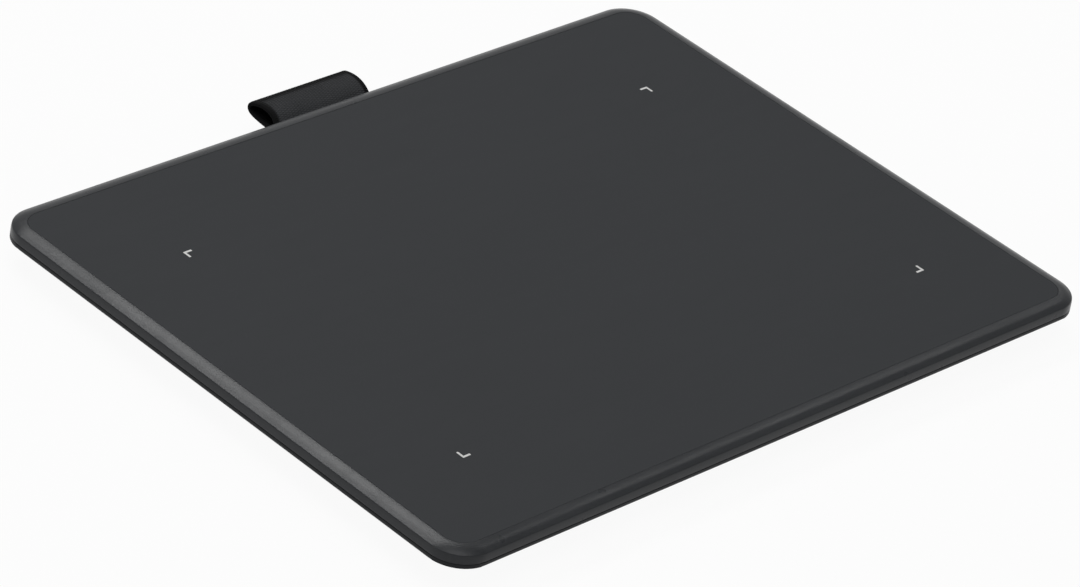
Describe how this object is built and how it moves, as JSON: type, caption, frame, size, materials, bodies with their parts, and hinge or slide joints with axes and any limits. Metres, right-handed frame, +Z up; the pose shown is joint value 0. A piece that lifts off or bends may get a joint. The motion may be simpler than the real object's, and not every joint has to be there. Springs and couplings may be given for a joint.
{
  "type": "graphics tablet",
  "caption": "Slim rectangular pen tablet with a flat matt drawing surface, a bevelled rim, rubber feet, a cable socket and a flexing fabric pen loop on its back edge.",
  "frame": {"origin": "on the table, under the middle of the whole tablet with its pen loop", "axes": "+X to the right along the back edge, +Y to the back edge that carries the pen loop, +Z up from the table"},
  "size_m": [0.1444, 0.1176, 0.0074],
  "materials": {
    "cover_plastic": "fine matt moulded texture, dark grey",
    "tray_plastic": "fine matt moulded texture, dark grey",
    "drawing_sheet": "paper-like matt sheet with small light corner marks",
    "adhesive_film": "clear double-sided adhesive film",
    "circuit_board": "green solder mask, satin",
    "steel_sheet": "rolled steel sheet",
    "insulating_film": "thin black film",
    "soft_foam": "soft open-cell foam",
    "chip_resin": "moulded black resin",
    "ceramic": "tan ceramic",
    "bright_metal": "drawn steel can, plated",
    "socket_plastic": "black connector plastic",
    "contact_metal": "gold-plated contacts",
    "ribbon_film": "white flat ribbon",
    "screw_steel": "blackened steel",
    "foot_rubber": "soft matt rubber",
    "strap_webbing": "narrow ribbed black webbing"
  },
  "bodies": {
    "root": {"top_cover": "cover_plastic", "bottom_cover": "tray_plastic", "surface_adhesive": "adhesive_film", "drawing_surface": "drawing_sheet", "sensor_board": "circuit_board", "shield_plate": "steel_sheet", "insulating_film": "insulating_film", "foam_pads": "soft_foam", "control_board": "circuit_board", "microcontroller": "chip_resin", "signal_amplifier": "chip_resin", "voltage_regulator": "chip_resin", "crystal": "bright_metal", "capacitors": "ceramic", "resistors": "chip_resin", "coil_switches": "chip_resin", "usb_shell": "bright_metal", "usb_tongue": "socket_plastic", "usb_contacts": "contact_metal", "sensor_ribbon_socket": "socket_plastic", "control_ribbon_socket": "socket_plastic", "ribbon_cable": "ribbon_film", "case_screws": "screw_steel", "board_screws": "screw_steel", "clamp_screws": "screw_steel", "rubber_feet": "foot_rubber", "strap_tail": "strap_webbing", "clamp_bar": "steel_sheet"},
    "loop": {"pen_loop": "strap_webbing"}
  },
  "joints": [
    {"name": "loop_flex", "type": "hinge", "parent": "root", "child": "loop", "pos_m": [0, 0.0507, 0.0042], "axis": [1, 0, 0], "range_deg": [-30, 45], "stiffness_Nm_per_rad": 0.001}
  ]
}
